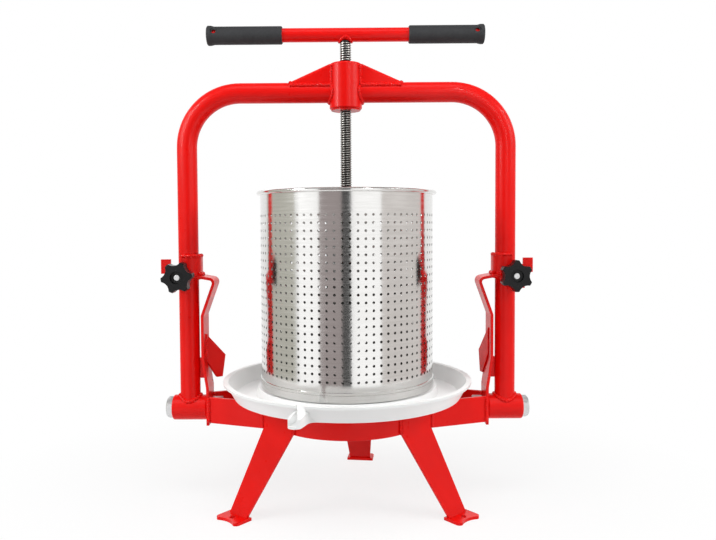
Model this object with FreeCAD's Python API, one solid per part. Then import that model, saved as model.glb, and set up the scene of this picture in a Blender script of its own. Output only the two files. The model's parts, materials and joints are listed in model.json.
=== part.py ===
import FreeCAD, Part
import math
import os

V = FreeCAD.Vector

# Tabletop fruit press: a screw in a bent-tube arch pushes a pan down into a perforated basket,
# which stands in a juice tray on a three-legged ring frame.
# Millimetres. The screw runs along Z, the floor is z = 0 and the front faces -Y.

# Clearances
weld_gap = 0.2          # between welded pieces that meet on a curved face
run_gap = 0.05          # radial gap of a running fit
push_gap = 0.1          # radial gap of a piece pushed on or through another
seat_gap = 0.3          # between loose pieces that rest on each other
shank_gap = 0.4         # radial gap round a bolt shank

# Ring frame
frame_top = 148.0       # height of the tray seat
bar_height = 36.0
bar_thickness = 5.0
ring_radius = 106.0
arm_turn = 30.0         # where an arm meets the ring, degrees from the X axis
tray_rim_radius = 173.2
end_plate_reach = 21.8  # from the tray's rim out to the middle of an end plate
strip_x = tray_rim_radius + end_plate_reach
pivot_height = frame_top - bar_height / 2

# Legs
leg_turn = 35.0         # front legs, degrees from the X axis
leg_twist = 15.0        # a front leg's plate turns this far, to meet the flat bar beside it
leg_sweep = 7.0         # and its foot this far towards the side
rear_leg_turn = 83.0
leg_drop = 2.0          # from the tray seat down to the top of a leg
leg_top_width = 54.0
leg_foot_width = 32.0
leg_plate = 4.0
foot_length = 19.0      # from the leg outwards
foot_heel = 8.0         # and inwards
foot_width = 42.0
foot_corner = 6.0
foot_hollow = 4.0       # depth of the hollow in the outer edge
foot_hole = 8.5
foot_hole_inset = 7.0   # from the leg's outer face
foot_hole_radius = 172.0

# Arch
tube_diameter = 28.0
tube_wall = 2.0
arch_reach = 27.5       # from the middle of an end plate out to the axis of the arch's leg
arch_half_width = strip_x + arch_reach
arch_height = 571.0
arch_bend = 75.0

# Head: boss, nut and gussets
boss_diameter = 45.0
boss_drop = 23.5        # from the arch's axis down to the boss's lower face
boss_bottom = arch_height - boss_drop
boss_height = 63.0
boss_edge = 1.5
nut_diameter = 30.0
nut_flange_diameter = 41.0
nut_flange = 1.6
gusset_reach = 77.0
gusset_width = 23.0
gusset_sheet = 3.0
gusset_tip = 13.5       # height of the outer end above the arch's axis
gusset_skirt = 9.0      # how far its lower edge is above the arch's axis
gusset_round = 3.5

# Screw and handle
screw_diameter = 16.0
neck_diameter = 11.5
neck_height = 13.0      # above the screw's lower end
neck_length = 7.0
screw_chamfer = 1.0
handle_rise = 40.0      # from the boss up to the bar's axis, at rest
handle_height = boss_bottom + boss_height + handle_rise
handle_diameter = 19.0
handle_wall = 2.0
handle_length = 377.0
grip_length = 104.0
grip_diameter = 24.6
grip_flare = 27.0
grip_flare_length = 5.0
grip_cap = 3.0
grip_vent = 4.0
grip_round = 1.2
grip_hole = 6.0         # cross hole near the outer end, with a shallow dimple round it
grip_dimple = 10.0
grip_dimple_depth = 0.8
grip_hole_inset = 10.4
grip_hole_turn = 17.0   # above the horizontal, on the front

# Pivots
pivot_tube_diameter = 35.0
pivot_tube_length = 49.1
pivot_chamfer = 1.5
bolt_diameter = 18.0
bolt_flats = 27.0
bolt_head = 8.5
bolt_crown = 25.4       # round face of the head
bolt_crown_slope = 45.0
bolt_spare = 4.0        # thread that stands out of the nut
pivot_nut_length = 14.0
pivot_washer_diameter = 27.5
pivot_washer = 2.5

# Latch strips, which stand up from the end plates and hold the arch
strip_thickness = 4.0
strip_width = 38.0
strip_drop = 4.0        # below the frame bars
strip_bend = 6.0
strip_knee = 160.0      # heights of the bends
strip_middle = 200.0
strip_shoulder = 262.0
strip_lip = 312.0
strip_lean = 6.0
lip_reach = 12.0        # how far the upper corner lies inwards of the end plate
lip_rise = 5.5

# Stop plates on the strips
stop_plate = 5.0
stop_tab_low = 172.0
stop_tab_high = 201.0
stop_top = 239.0
stop_apex = 202.0
stop_low = 171.0
stop_reach = 29.0       # apex, along the plate
stop_low_reach = 24.0
stop_low_width = 9.0
stop_turns = {"left": 39.0, "right": 78.0}  # how far a plate turns towards the back
stop_lifts = {"left": 0.0, "right": 4.0}

# Saddles, which take the arch legs, with their clamp studs
saddle_plate = 4.0
saddle_low = 312.0
saddle_high = 345.0
saddle_tail = 9.0       # how far the inner flange runs back past the tube's axis
ear_low = 299.0
ear_high = 341.0
clamp_reach = 7.5       # from the axis of the arch's leg out to the stud
clamp_x = arch_half_width + clamp_reach
clamp_height = 317.0
ear_reach = 27.0        # outwards from the stud, and the same for the next three
ear_upper_reach = 13.5
ear_under_reach = 16.0
notch_reach = -1.0
notch_depth = 9.0
ear_under = 4.0         # above the stud, the lower edge of the ear's outer part
stud_diameter = 8.0
stud_stand = 1.2        # thread that stands out of the knob's recess

# Star knobs
knob_diameter = 43.0
knob_lobes = 6
knob_scallop_radius = 12.0
knob_scallop_offset = 28.5
knob_star = 19.0
knob_neck = 5.0
knob_neck_diameter = 24.0
knob_recess_diameter = 17.0
knob_recess = 4.0
knob_edge = 1.4
knob_turns = {"left": 8.0, "right": 30.0}
insert_diameter = 12.0
clamp_washer_diameter = 22.0
clamp_washer = 2.0

# Tray
tray_rim_height = 172.4
tray_foot_radius = 158.0
tray_wall = 3.0
tray_floor = 150.0      # underside of the gutter
tray_lip = 4.0
tray_deck_radius = 125.0
tray_deck_slope = 2.5
seat_rib_inner = 98.5
seat_rib_outer = 107.0
spout_turn = -109.0
spout_root_radius = 152.0
spout_flank_radius = 157.0  # where the hollow flanks start
spout_tip_radius = 194.64  # reaches as far to the front as the rear foot does to the back
spout_root_width = 40.0
spout_width = 17.0
spout_root_top = 167.0
spout_tip_top = 160.0

# Basket
basket_radius = 120.0
basket_sheet = 1.2
basket_foot = 163.0     # underside, on the tray's deck
basket_height = 271.0
rim_reach = 6.4         # flattened roll at the rim
rim_height = 3.6
hem_height = 12.5
hem_sheet = 1.2
hole_diameter = 3.4
hole_sides = 6
hole_rows = 11
hole_columns = 19
hole_row_pitch = 20.0
hole_top_margin = 34.0  # from the rim down to the first row

# Pressing pan and its hub
pan_gap = 3.3
pan_sheet = 1.5
pan_bottom = 181.0
pan_depth = 103.0
pan_corner = 9.0
hub_diameter = 40.0
hub_height = 32.0
hub_edge = 2.0
pad_thickness = 3.0
grub_diameter = 6.0
grub_tip_diameter = 4.5
grub_tip = 4.0
grub_count = 2


def make_cylinder(radius, start, end):
    return Part.makeCylinder(radius, (end - start).Length, start, end - start)


def upright(radius, low, high, x=0.0, y=0.0):
    return make_cylinder(radius, V(x, y, low), V(x, y, high))


def polygon(points):
    return Part.Face(Part.makePolygon(list(points) + [points[0]]))


def revolve(profile):
    """Turn a face drawn in the XZ plane once round the screw axis."""
    return profile.revolve(V(0, 0, 0), V(0, 0, 1), 360)


def section(points):
    """A face in the XZ plane from (radius or x, height) pairs."""
    return polygon([V(x, 0, z) for x, z in points])


def turned_way(degrees):
    """A level direction, turned from the X axis."""
    return V(math.cos(math.radians(degrees)), math.sin(math.radians(degrees)), 0)


def shifted(shape, way):
    copy = shape.copy()
    copy.translate(way)
    return copy


def mirrored(shape):
    return shape.mirror(V(0, 0, 0), V(1, 0, 0))


def turned(shape, degrees, about=V(0, 0, 0), axis=V(0, 0, 1)):
    copy = shape.copy()
    copy.rotate(about, axis, degrees)
    return copy


def hexagon(flats, start, end):
    """A hexagonal prism along X with two corners up and down."""
    corner = flats / math.sqrt(3)
    points = []
    for k in range(6):
        angle = math.radians(60 * k + 90)
        points.append(V(start.x, start.y + corner * math.cos(angle), start.z + corner * math.sin(angle)))
    return polygon(points).extrude(end - start)


def rounded_path(points, radius):
    """Straight runs and tangent arcs through corner points, as (kind, points, centre) pieces."""
    pieces = []
    here = points[0]
    for before, corner, after in zip(points, points[1:], points[2:]):
        back = (before - corner).normalize()
        ahead = (after - corner).normalize()
        half = math.acos(max(-1.0, min(1.0, back.dot(ahead)))) / 2
        reach = radius / math.tan(half)
        start = corner + back * reach
        end = corner + ahead * reach
        centre = corner + (back + ahead).normalize() * (radius / math.sin(half))
        middle = centre + (corner - centre).normalize() * radius
        pieces.append(("run", [here, start], None))
        pieces.append(("arc", [start, middle, end], centre))
        here = end
    pieces.append(("run", [here, points[-1]], None))
    return pieces


def offset_edges(pieces, distance, plane_normal):
    """The edges of a rounded path, shifted sideways in its plane."""
    edges = []
    for kind, points, centre in pieces:
        if kind == "run":
            side = (points[1] - points[0]).cross(plane_normal).normalize() * distance
            edges.append(Part.makeLine(points[0] + side, points[1] + side))
        else:
            side = (points[1] - centre).normalize()
            across = (points[2] - points[0]).cross(plane_normal)
            sign = 1.0 if side.dot(across) > 0 else -1.0
            shifted = [p + (p - centre).normalize() * distance * sign for p in points]
            edges.append(Part.Arc(*shifted).toShape())
    return edges


def bent_plate(points, radius, thickness, plane_normal, width):
    """A strip of plate bent along a path, as wide as given along the plane's normal."""
    pieces = rounded_path(points, radius)
    near = offset_edges(pieces, thickness / 2, plane_normal)
    far = offset_edges(pieces, -thickness / 2, plane_normal)
    near_wire = Part.Wire(near)
    far_wire = Part.Wire(far)
    start = Part.makeLine(far[0].valueAt(far[0].FirstParameter), near[0].valueAt(near[0].FirstParameter))
    end = Part.makeLine(far[-1].valueAt(far[-1].LastParameter), near[-1].valueAt(near[-1].LastParameter))
    outline = Part.Wire(Part.__sortEdges__(near_wire.Edges + far_wire.Edges + [start, end]))
    plate = Part.Face(outline).extrude(plane_normal * width)
    plate.translate(plane_normal * (-width / 2))
    return plate


def save(name, shape):
    shape.exportStep(os.path.join("parts", name + ".step"))


def save_pair(name, right_shape):
    """Both hands of a piece that is drawn for the right side."""
    save(name + "_right", right_shape)
    save(name + "_left", mirrored(right_shape))


# Frame

def base_ring():
    ring = upright(ring_radius, frame_top - bar_height, frame_top)
    return ring.cut(upright(ring_radius - bar_thickness, frame_top - bar_height, frame_top))


def arm_block(spare):
    """The flat bar from the end plate to the ring, with some spare on its sides and ends."""
    plate_face = strip_x - strip_thickness / 2
    outer = V(plate_face, -(strip_width - bar_thickness) / 2, 0)
    angle = math.radians(arm_turn)
    inner = V(ring_radius * math.cos(angle), -ring_radius * math.sin(angle), 0)
    along = (outer - inner).normalize()
    side = V(-along.y, along.x, 0) * (bar_thickness / 2 + spare)
    start = inner - along * bar_thickness
    end = outer + along * bar_thickness
    bar = polygon([start + side, end + side, end - side, start - side])
    bar.translate(V(0, 0, frame_top - bar_height - spare))
    return bar.extrude(V(0, 0, bar_height + 2 * spare))


def arm_front_right():
    """Flat bar on edge from the end plate to the ring."""
    bar = arm_block(0).cut(upright(ring_radius + weld_gap, 0, frame_top * 2))
    beyond = Part.makeBox(bar_height, strip_width * 2, frame_top * 2,
                          V(strip_x - strip_thickness / 2, -strip_width, 0))
    return bar.cut(beyond)


def leg(twist, sweep):
    """A leg that points along +X: a flat plate against the outside of the ring, which leans
    outwards below it to a foot flange."""
    face = turned_way(twist)
    along = V(-face.y, face.x, 0)
    hip = V((ring_radius + weld_gap + leg_plate) / face.x, 0, frame_top - bar_height)
    hole = turned_way(sweep) * foot_hole_radius
    foot = hole - face * foot_hole_inset

    def plate(upper, upper_width, lower, lower_width):
        corners = [
            upper - along * (upper_width / 2),
            upper + along * (upper_width / 2),
            lower + along * (lower_width / 2),
            lower - along * (lower_width / 2),
        ]
        return polygon(corners).extrude(face * -leg_plate)

    top = hip + V(0, 0, bar_height - leg_drop)
    blade = plate(top, leg_top_width, hip, leg_top_width).fuse(plate(hip, leg_top_width, foot, leg_foot_width))
    flange = Part.makeBox(foot_heel + foot_length, foot_width, leg_plate, V(-foot_heel, -foot_width / 2, 0))
    corners = [e for e in flange.Edges
               if abs(e.Vertexes[0].Z - e.Vertexes[-1].Z) > leg_plate / 2 and e.Vertexes[0].X > 0]
    flange = flange.makeFillet(foot_corner, corners)
    half_chord = foot_width / 2 - foot_corner
    hollow_radius = (half_chord ** 2 + foot_hollow ** 2) / (2 * foot_hollow)
    hollow_x = foot_length - foot_hollow + hollow_radius
    flange = flange.cut(upright(hollow_radius, -leg_plate, leg_plate * 2, hollow_x))
    shape = blade.fuse(shifted(turned(flange, twist), foot))
    return shape.cut(upright(foot_hole / 2, -leg_plate, leg_plate * 2, hole.x, hole.y)).removeSplitter()


def leg_front_right():
    """The plate's outer edge is cut along the face of the flat bar that it meets."""
    shape = turned(leg(-leg_twist, leg_sweep), -leg_turn).cut(arm_block(weld_gap))
    return max(shape.Solids, key=lambda s: s.Volume)


# Arch and head

def arch_pipe(radius):
    """Right half of the arch as a solid rod of the given radius."""
    bend_x = arch_half_width - arch_bend
    bend_z = arch_height - arch_bend
    across = make_cylinder(radius, V(0, 0, arch_height), V(bend_x, 0, arch_height))
    disc = Part.Face(Part.Wire(Part.makeCircle(radius, V(bend_x, 0, arch_height), V(1, 0, 0))))
    bend = disc.revolve(V(bend_x, 0, bend_z), V(0, 1, 0), 90)
    down = upright(radius, pivot_height, bend_z, arch_half_width)
    return across.fuse([bend, down]).removeSplitter()


def arch_half_right():
    tube = arch_pipe(tube_diameter / 2).cut(arch_pipe(tube_diameter / 2 - tube_wall))
    tube = tube.cut(upright(boss_diameter / 2 + weld_gap, boss_bottom, boss_bottom + boss_height))
    start = V(arch_half_width - tube_diameter, 0, pivot_height)
    end = V(arch_half_width + tube_diameter, 0, pivot_height)
    tube = tube.cut(make_cylinder(pivot_tube_diameter / 2 + weld_gap, start, end))
    return tube


def head_boss():
    top = boss_bottom + boss_height
    boss = upright(boss_diameter / 2, boss_bottom, top)
    boss = boss.makeChamfer(boss_edge, [e for e in boss.Edges if isinstance(e.Curve, Part.Circle)])
    return boss.cut(upright(nut_diameter / 2 + run_gap, boss_bottom, top))


def screw_nut():
    """Flanged bush, threaded for the screw, held in the boss."""
    body = upright(nut_diameter / 2, boss_bottom, boss_bottom + boss_height - boss_edge)
    flange = upright(nut_flange_diameter / 2, boss_bottom - nut_flange, boss_bottom)
    bore = upright(screw_diameter / 2 + run_gap, boss_bottom - nut_flange, boss_bottom + boss_height)
    return body.fuse(flange).cut(bore).removeSplitter()


def gusset_right():
    """Folded sheet over the arch tube, welded to the boss."""
    high = boss_bottom + boss_height - boss_edge
    low = arch_height + gusset_skirt
    tip = arch_height + gusset_tip
    shoulder = boss_diameter / 2
    outline = [(0, low), (gusset_reach, low), (gusset_reach, tip), (shoulder, high), (0, high)]
    block = section(outline).extrude(V(0, gusset_width, 0))
    block.translate(V(0, -gusset_width / 2, 0))
    ridge = [e for e in block.Edges
             if abs(e.Vertexes[0].Y - e.Vertexes[-1].Y) < 0.01
             and min(v.Z for v in e.Vertexes) > tip - 0.01]
    block = block.makeFillet(gusset_round, ridge)
    drop = gusset_sheet
    inside = [
        (0, low - drop),
        (gusset_reach - drop, low - drop),
        (gusset_reach - drop, tip - drop),
        (shoulder, high - drop),
        (0, high - drop),
    ]
    hollow = section(inside).extrude(V(0, gusset_width - 2 * gusset_sheet, 0))
    hollow.translate(V(0, gusset_sheet - gusset_width / 2, 0))
    shell = block.cut(hollow)
    shell = shell.cut(arch_pipe(tube_diameter / 2 + weld_gap))
    shell = shell.cut(upright(shoulder + weld_gap, 0, high * 2))
    return max(shell.Solids, key=lambda s: s.Volume)


# Pivots

pivot_inner_x = strip_x + strip_thickness / 2 + seat_gap
pivot_outer_x = pivot_inner_x + pivot_tube_length


def pivot_axis(start_x, end_x):
    return V(start_x, 0, pivot_height), V(end_x, 0, pivot_height)


def pivot_tube_right():
    tube = make_cylinder(pivot_tube_diameter / 2, *pivot_axis(pivot_inner_x, pivot_outer_x))
    tube = tube.makeChamfer(pivot_chamfer, [e for e in tube.Edges if isinstance(e.Curve, Part.Circle)])
    return tube.cut(make_cylinder(bolt_diameter / 2 + shank_gap, *pivot_axis(pivot_inner_x, pivot_outer_x)))


def pivot_nut_face():
    return strip_x - strip_thickness / 2 - pivot_washer


def pivot_bolt_right():
    """Hexagon bolt, its head outside."""
    tip = pivot_nut_face() - pivot_nut_length - bolt_spare
    shank = make_cylinder(bolt_diameter / 2, *pivot_axis(tip, pivot_outer_x))
    head = hexagon(bolt_flats, *pivot_axis(pivot_outer_x, pivot_outer_x + bolt_head))
    base = bolt_crown / 2 + bolt_head * math.tan(math.radians(bolt_crown_slope))
    rounding = Part.makeCone(base, bolt_crown / 2, bolt_head, V(pivot_outer_x, 0, pivot_height), V(1, 0, 0))
    return shank.fuse(head.common(rounding)).removeSplitter()


def pivot_washer_right():
    face = strip_x - strip_thickness / 2
    ring = make_cylinder(pivot_washer_diameter / 2, *pivot_axis(face - pivot_washer, face))
    return ring.cut(make_cylinder(bolt_diameter / 2 + push_gap, *pivot_axis(face - pivot_washer, face)))


def pivot_nut_right():
    face = pivot_nut_face()
    nut = hexagon(bolt_flats, *pivot_axis(face - pivot_nut_length, face))
    return nut.cut(make_cylinder(bolt_diameter / 2 + run_gap, *pivot_axis(face - pivot_nut_length, face)))


# Latch strips, stops and saddles

def latch_strip_right():
    """End plate and latch strip, bent from one flat bar."""
    corner_x = strip_x - lip_reach
    lip_end = arch_half_width - saddle_outer / 2
    points = [
        V(strip_x, 0, frame_top - bar_height - strip_drop),
        V(strip_x, 0, strip_knee),
        V(strip_x + strip_lean, 0, strip_middle),
        V(strip_x + strip_lean, 0, strip_shoulder),
        V(corner_x, 0, strip_lip),
        V(lip_end, 0, strip_lip + lip_rise),
    ]
    strip = bent_plate(points, strip_bend, strip_thickness, V(0, 1, 0), strip_width)
    low_x = strip_x - strip_thickness
    high_x = strip_x + strip_thickness
    strip = strip.cut(make_cylinder(bolt_diameter / 2 + shank_gap, *pivot_axis(low_x, high_x)))
    sleeve = upright(saddle_outer + weld_gap, strip_shoulder, saddle_high, arch_half_width)
    flange = Part.makeBox(saddle_outer, strip_width, saddle_high - strip_shoulder,
                          V(arch_half_width - saddle_outer - weld_gap, 0, strip_shoulder))
    return strip.cut(sleeve).cut(flange)


def stop_right(turn, lift):
    """Wing on the inner face of the strip, and the tab between the strip and the arch leg."""
    face = strip_x + strip_lean - strip_thickness / 2
    wing = section([
        (face + stop_plate, stop_top + lift),
        (face + stop_plate, stop_apex + lift),
        (face - stop_low_reach + stop_low_width, stop_low + lift),
        (face - stop_low_reach, stop_low + lift),
        (face - stop_reach, stop_apex + lift),
    ]).extrude(V(0, stop_plate, 0))
    wing.translate(V(0, -stop_plate / 2, 0))
    wing = turned(wing, -turn, V(face, 0, 0))
    strip = latch_strip_right()
    behind = Part.makeBox(strip_width, strip_width * 2, arch_height, V(face, -strip_width, 0))
    wing = wing.cut(behind).cut(strip)
    wing = max(wing.Solids, key=lambda s: s.Volume)
    tab_length = arch_half_width - tube_diameter / 2 - seat_gap - strip_x
    tab = Part.makeBox(tab_length, stop_plate, stop_tab_high - stop_tab_low,
                       V(strip_x, -stop_plate / 2, stop_tab_low))
    tab = tab.cut(strip)
    tab = max(tab.Solids, key=lambda s: s.CenterOfMass.x)
    return Part.makeCompound([wing, tab])


saddle_middle = tube_diameter / 2 + seat_gap + saddle_plate / 2
saddle_outer = saddle_middle + saddle_plate / 2


def saddle_right():
    """Plate bent round the front of the arch leg, with an ear outside the clamp stud."""
    inner_x = arch_half_width - saddle_middle
    points = [
        V(inner_x, saddle_tail, 0),
        V(inner_x, -saddle_middle, 0),
        V(clamp_x + ear_reach, -saddle_middle, 0),
    ]
    plate = bent_plate(points, saddle_middle, saddle_plate, V(0, 0, 1), saddle_high - ear_low)
    plate.translate(V(0, 0, (saddle_high + ear_low) / 2))
    depth = strip_width * 2
    under_sleeve = Part.makeBox(arch_half_width, depth, saddle_low, V(-1, -strip_width, 0))
    over_ear = Part.makeBox(ear_reach, depth, saddle_high,
                            V(clamp_x + ear_upper_reach, -strip_width, ear_high))
    notch = Part.makeBox(ear_upper_reach - notch_reach, depth, saddle_high,
                         V(clamp_x + notch_reach, -strip_width, ear_high - notch_depth))
    under_ear = Part.makeBox(ear_reach, depth, clamp_height + ear_under,
                             V(clamp_x + ear_under_reach, -strip_width, 0))
    plate = plate.cut(under_sleeve).cut(over_ear).cut(notch).cut(under_ear)
    start = V(clamp_x, 0, clamp_height)
    hole = make_cylinder(stud_diameter / 2 + run_gap, start, start - V(0, strip_width, 0))
    return plate.cut(hole)


def clamp_point(distance):
    """A point on the right clamp's axis, forwards of the saddle's front face."""
    return V(clamp_x, -saddle_outer - distance, clamp_height)


knob_back = clamp_washer
knob_front = knob_back + knob_neck + knob_star
recess_floor = knob_front - knob_recess


def stud_right():
    tip = clamp_point(recess_floor + stud_stand)
    return make_cylinder(stud_diameter / 2, clamp_point(-saddle_plate), tip)


def knob_washer_right():
    ring = make_cylinder(clamp_washer_diameter / 2, clamp_point(0), clamp_point(clamp_washer))
    return ring.cut(make_cylinder(stud_diameter / 2 + shank_gap, clamp_point(0), clamp_point(clamp_washer)))


def knob_insert_right():
    bush = make_cylinder(insert_diameter / 2, clamp_point(knob_back), clamp_point(recess_floor))
    bore = make_cylinder(stud_diameter / 2 + run_gap, clamp_point(knob_back), clamp_point(recess_floor))
    return bush.cut(bore)


def knob_right(turn):
    """Star knob: a scalloped disc on a short neck, recessed in front."""
    back = knob_back + knob_neck
    radius = knob_diameter / 2
    star = make_cylinder(radius, clamp_point(back), clamp_point(knob_front))
    star = star.makeChamfer(knob_edge, [e for e in star.Edges if isinstance(e.Curve, Part.Circle)])
    for k in range(knob_lobes):
        angle = math.radians(turn + (k + 0.5) * 360 / knob_lobes)
        shift = V(math.cos(angle), 0, math.sin(angle)) * knob_scallop_offset
        start = clamp_point(back) + shift
        end = clamp_point(knob_front) + shift
        star = star.cut(make_cylinder(knob_scallop_radius, start, end))
    neck = make_cylinder(knob_neck_diameter / 2, clamp_point(knob_back), clamp_point(back))
    recess = make_cylinder(knob_recess_diameter / 2, clamp_point(recess_floor), clamp_point(knob_front))
    bore = make_cylinder(insert_diameter / 2 + run_gap, clamp_point(knob_back), clamp_point(knob_front))
    return star.fuse(neck).cut(recess).cut(bore).removeSplitter()


# Tray

def spout_prism(inset, low, high):
    """The spout's outline in plan: hollow flanks that run into a tongue with a round tip."""
    root = spout_root_width / 2 - inset
    half = spout_width / 2 - inset
    flank = root - half
    diagonal = flank * math.sin(math.radians(45))
    neck = spout_flank_radius + flank
    start = V(spout_root_radius - inset, root, low)
    flank_start = V(spout_flank_radius, root, low)
    flank_middle = V(neck - diagonal, root - diagonal, low)
    tongue_start = V(neck, half, low)
    tongue_end = V(spout_tip_radius - half, half, low)
    tip = V(spout_tip_radius, 0, low)

    def across(point):
        return V(point.x, -point.y, point.z)

    plan = Part.Face(Part.Wire([
        Part.makeLine(across(start), across(flank_start)),
        Part.Arc(across(flank_start), across(flank_middle), across(tongue_start)).toShape(),
        Part.makeLine(across(tongue_start), across(tongue_end)),
        Part.Arc(across(tongue_end), tip, tongue_end).toShape(),
        Part.makeLine(tongue_end, tongue_start),
        Part.Arc(tongue_start, flank_middle, flank_start).toShape(),
        Part.makeLine(flank_start, start),
        Part.makeLine(start, across(start)),
    ]))
    return plan.extrude(V(0, 0, high - low))


def juice_tray():
    """Moulded tray: raised deck for the basket, gutter, sloping wall with a lip, and a spout."""
    floor = tray_floor + tray_wall
    deck = basket_foot
    lip_inner = tray_rim_radius - tray_lip - tray_wall
    foot_inner = tray_foot_radius - tray_wall
    bowl = section([
        (0, deck - tray_wall),
        (seat_rib_inner, deck - tray_wall),
        (seat_rib_inner, frame_top),
        (seat_rib_outer, frame_top),
        (seat_rib_outer, deck - tray_wall),
        (tray_deck_radius - tray_wall, deck - tray_wall),
        (tray_deck_radius - tray_wall + tray_deck_slope, tray_floor),
        (tray_foot_radius, tray_floor),
        (tray_rim_radius - tray_lip, tray_rim_height - tray_wall),
        (tray_rim_radius, tray_rim_height - tray_wall),
        (tray_rim_radius, tray_rim_height),
        (lip_inner, tray_rim_height),
        (foot_inner, floor),
        (tray_deck_radius + tray_deck_slope, floor),
        (tray_deck_radius, deck),
        (0, deck),
    ])
    inside = section([
        (0, floor),
        (foot_inner, floor),
        (lip_inner, tray_rim_height),
        (lip_inner, tray_rim_height * 2),
        (0, tray_rim_height * 2),
    ])
    outer = spout_prism(0, tray_floor, tray_rim_height)
    slope = section([
        (spout_root_radius - 1, spout_root_top),
        (spout_tip_radius + 1, spout_tip_top),
        (spout_tip_radius + 1, tray_rim_height + 1),
        (spout_root_radius - 1, tray_rim_height + 1),
    ]).extrude(V(0, spout_root_width * 2, 0))
    slope.translate(V(0, -spout_root_width, 0))
    half = spout_width / 2 - tray_wall
    mouth = Part.makeBox(spout_width, 2 * half, tray_rim_height,
                         V(spout_tip_radius - spout_width, -half, floor))
    channel = turned(spout_prism(tray_wall, floor, tray_rim_height * 2).fuse(mouth), spout_turn)
    spout = turned(outer.cut(slope), spout_turn).cut(revolve(inside))
    return revolve(bowl).fuse(spout).cut(channel).removeSplitter()


# Basket

def hole_cutter(turn, height):
    """A few-sided radial prism for one hole of the wall."""
    points = []
    for k in range(hole_sides):
        angle = math.radians((k + 0.5) * 360 / hole_sides)
        across = hole_diameter / 2 * math.cos(angle)
        up = hole_diameter / 2 * math.sin(angle)
        points.append(V(basket_radius - 2 * basket_sheet, across, height + up))
    return turned(polygon(points).extrude(V(3 * basket_sheet, 0, 0)), turn)


def basket_wall():
    """Rolled sheet with a wired rim; the holes stand in upright columns."""
    top = basket_foot + basket_height
    inner = basket_radius - basket_sheet
    foot = basket_foot + basket_sheet
    half = rim_height / 2
    near = inner + half
    far = inner + rim_reach - half
    sheet = section([(inner, foot), (basket_radius, foot), (basket_radius, top - half), (inner, top - half)])
    roll = Part.Face(Part.Wire([
        Part.makeLine(V(near, 0, top), V(far, 0, top)),
        Part.Arc(V(far, 0, top), V(far + half, 0, top - half), V(far, 0, top - rim_height)).toShape(),
        Part.makeLine(V(far, 0, top - rim_height), V(near, 0, top - rim_height)),
        Part.Arc(V(near, 0, top - rim_height), V(inner, 0, top - half), V(near, 0, top)).toShape(),
    ]))
    wall = revolve(sheet).fuse(revolve(roll)).removeSplitter()
    cutters = []
    for row in range(hole_rows):
        height = top - hole_top_margin - row * hole_row_pitch
        for column in range(hole_columns):
            cutters.append(hole_cutter(column * 360 / hole_columns, height))
    return wall.cut(cutters)


def basket_base():
    """Pressed bottom, hemmed round the foot of the wall."""
    inner = basket_radius + run_gap
    outer = inner + hem_sheet
    floor = basket_foot + basket_sheet
    return revolve(section([
        (0, basket_foot),
        (outer, basket_foot),
        (outer, basket_foot + hem_height),
        (inner, basket_foot + hem_height),
        (inner, floor),
        (0, floor),
    ]))


# Pressing pan, hub and screw

pan_radius = basket_radius - basket_sheet - pan_gap
pan_floor = pan_bottom + pan_sheet
screw_end = pan_floor + pad_thickness
neck_low = screw_end + neck_height
grub_height = neck_low + neck_length / 2


def press_pan():
    """Deep pan that follows the basket's wall."""
    wall = pan_radius
    skin = pan_sheet
    low = pan_bottom
    rim = pan_bottom + pan_depth
    turn = pan_corner
    lean = turn * math.sin(math.radians(45))
    small = turn - skin
    small_lean = small * math.sin(math.radians(45))
    centre = V(wall - turn, 0, low + turn)
    edges = [
        Part.makeLine(V(0, 0, low), V(wall - turn, 0, low)),
        Part.Arc(V(wall - turn, 0, low), centre + V(lean, 0, -lean), V(wall, 0, low + turn)).toShape(),
        Part.makeLine(V(wall, 0, low + turn), V(wall, 0, rim)),
        Part.makeLine(V(wall, 0, rim), V(wall - skin, 0, rim)),
        Part.makeLine(V(wall - skin, 0, rim), V(wall - skin, 0, low + turn)),
        Part.Arc(V(wall - skin, 0, low + turn), centre + V(small_lean, 0, -small_lean),
                 V(wall - turn, 0, low + skin)).toShape(),
        Part.makeLine(V(wall - turn, 0, low + skin), V(0, 0, low + skin)),
        Part.makeLine(V(0, 0, low + skin), V(0, 0, low)),
    ]
    return revolve(Part.Face(Part.Wire(edges)))


def grub_axis(k, near, far):
    """Two points on the axis of the k-th retaining screw, at the given radii."""
    angle = 2 * math.pi * k / grub_count
    way = V(math.cos(angle), math.sin(angle), 0)
    lift = V(0, 0, grub_height)
    return way * near + lift, way * far + lift


def pan_hub():
    """Boss on the pan's floor that takes the end of the screw."""
    hub = upright(hub_diameter / 2, pan_floor, pan_floor + hub_height)
    top_edge = [e for e in hub.Edges if isinstance(e.Curve, Part.Circle) and e.Curve.Center.z > pan_floor + 1]
    hub = hub.makeChamfer(hub_edge, top_edge)
    hub = hub.cut(upright(screw_diameter / 2 + run_gap, pan_floor, pan_floor + hub_height))
    for k in range(grub_count):
        hub = hub.cut(make_cylinder(grub_diameter / 2 + run_gap, *grub_axis(k, 1, hub_diameter)))
    return hub


def hub_grub_screws():
    """Dog-point screws whose tips stand in the screw's neck."""
    screws = []
    shoulder = neck_diameter / 2 + seat_gap + grub_tip
    for k in range(grub_count):
        tip = make_cylinder(grub_tip_diameter / 2, *grub_axis(k, neck_diameter / 2 + seat_gap, shoulder))
        body = make_cylinder(grub_diameter / 2, *grub_axis(k, shoulder, hub_diameter / 2 - seat_gap))
        screws.append(tip.fuse(body).removeSplitter())
    return Part.makeCompound(screws)


def thrust_pad():
    return upright(screw_diameter / 2 - push_gap, pan_floor, screw_end)


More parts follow.
